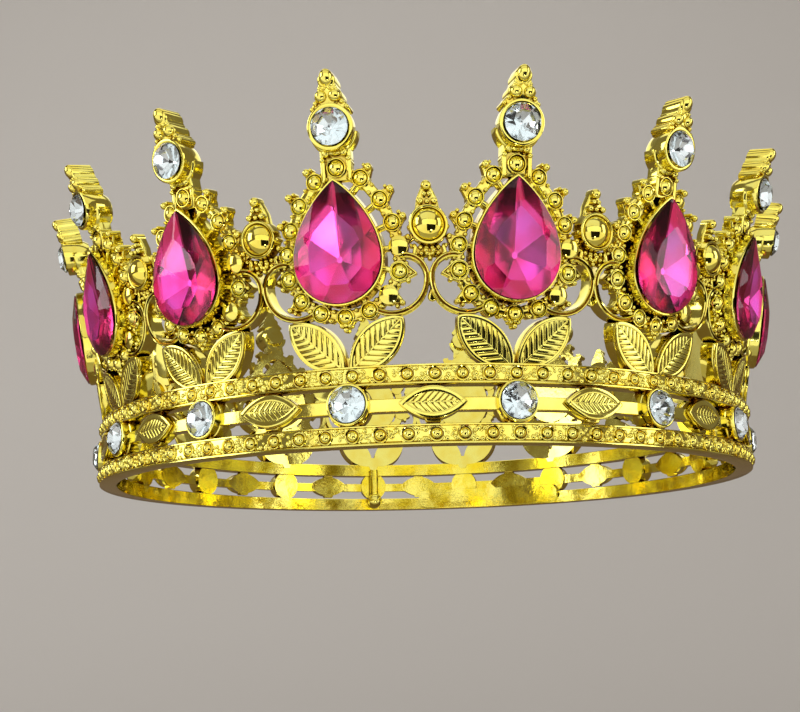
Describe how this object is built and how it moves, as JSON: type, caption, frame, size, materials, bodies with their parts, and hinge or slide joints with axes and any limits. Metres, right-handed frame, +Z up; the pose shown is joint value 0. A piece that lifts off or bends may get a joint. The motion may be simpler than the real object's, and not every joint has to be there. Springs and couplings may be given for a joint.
{
  "type": "crown",
  "caption": "Full-round costume crown: a pierced, beaded band carrying leaf-and-scroll spires set with pear-cut magenta stones and round clear stones.",
  "frame": {"origin": "on the crown's axis, at the underside of the band", "axes": "+Z up along the crown's axis; -Y is the middle of the front, between two spires; the splice in the ring is at +Y"},
  "size_m": [0.1502, 0.1502, 0.0558],
  "materials": {
    "gold_plate": "bright mirror-like lemon-yellow gold electroplate",
    "pear_stone": "faceted, foil-backed magenta",
    "clear_stone": "faceted, foil-backed clear"
  },
  "bodies": {
    "root": {"band": "gold_plate", "spire_01": "gold_plate", "spire_02": "gold_plate", "spire_03": "gold_plate", "spire_04": "gold_plate", "spire_05": "gold_plate", "spire_06": "gold_plate", "spire_07": "gold_plate", "spire_08": "gold_plate", "spire_09": "gold_plate", "spire_10": "gold_plate", "spire_11": "gold_plate", "spire_12": "gold_plate", "spire_13": "gold_plate", "spire_14": "gold_plate", "spire_15": "gold_plate", "spire_16": "gold_plate", "rear_splice_plate": "gold_plate", "rear_stud": "gold_plate", "pear_stone_01": "pear_stone", "pear_stone_02": "pear_stone", "pear_stone_03": "pear_stone", "pear_stone_04": "pear_stone", "pear_stone_05": "pear_stone", "pear_stone_06": "pear_stone", "pear_stone_07": "pear_stone", "pear_stone_08": "pear_stone", "pear_stone_09": "pear_stone", "pear_stone_10": "pear_stone", "pear_stone_11": "pear_stone", "pear_stone_12": "pear_stone", "pear_stone_13": "pear_stone", "pear_stone_14": "pear_stone", "pear_stone_15": "pear_stone", "pear_stone_16": "pear_stone", "spike_stone_01": "clear_stone", "spike_stone_02": "clear_stone", "spike_stone_03": "clear_stone", "spike_stone_04": "clear_stone", "spike_stone_05": "clear_stone", "spike_stone_06": "clear_stone", "spike_stone_07": "clear_stone", "spike_stone_08": "clear_stone", "spike_stone_09": "clear_stone", "spike_stone_10": "clear_stone", "spike_stone_11": "clear_stone", "spike_stone_12": "clear_stone", "spike_stone_13": "clear_stone", "spike_stone_14": "clear_stone", "spike_stone_15": "clear_stone", "spike_stone_16": "clear_stone", "band_stones": "clear_stone"}
  },
  "joints": []
}
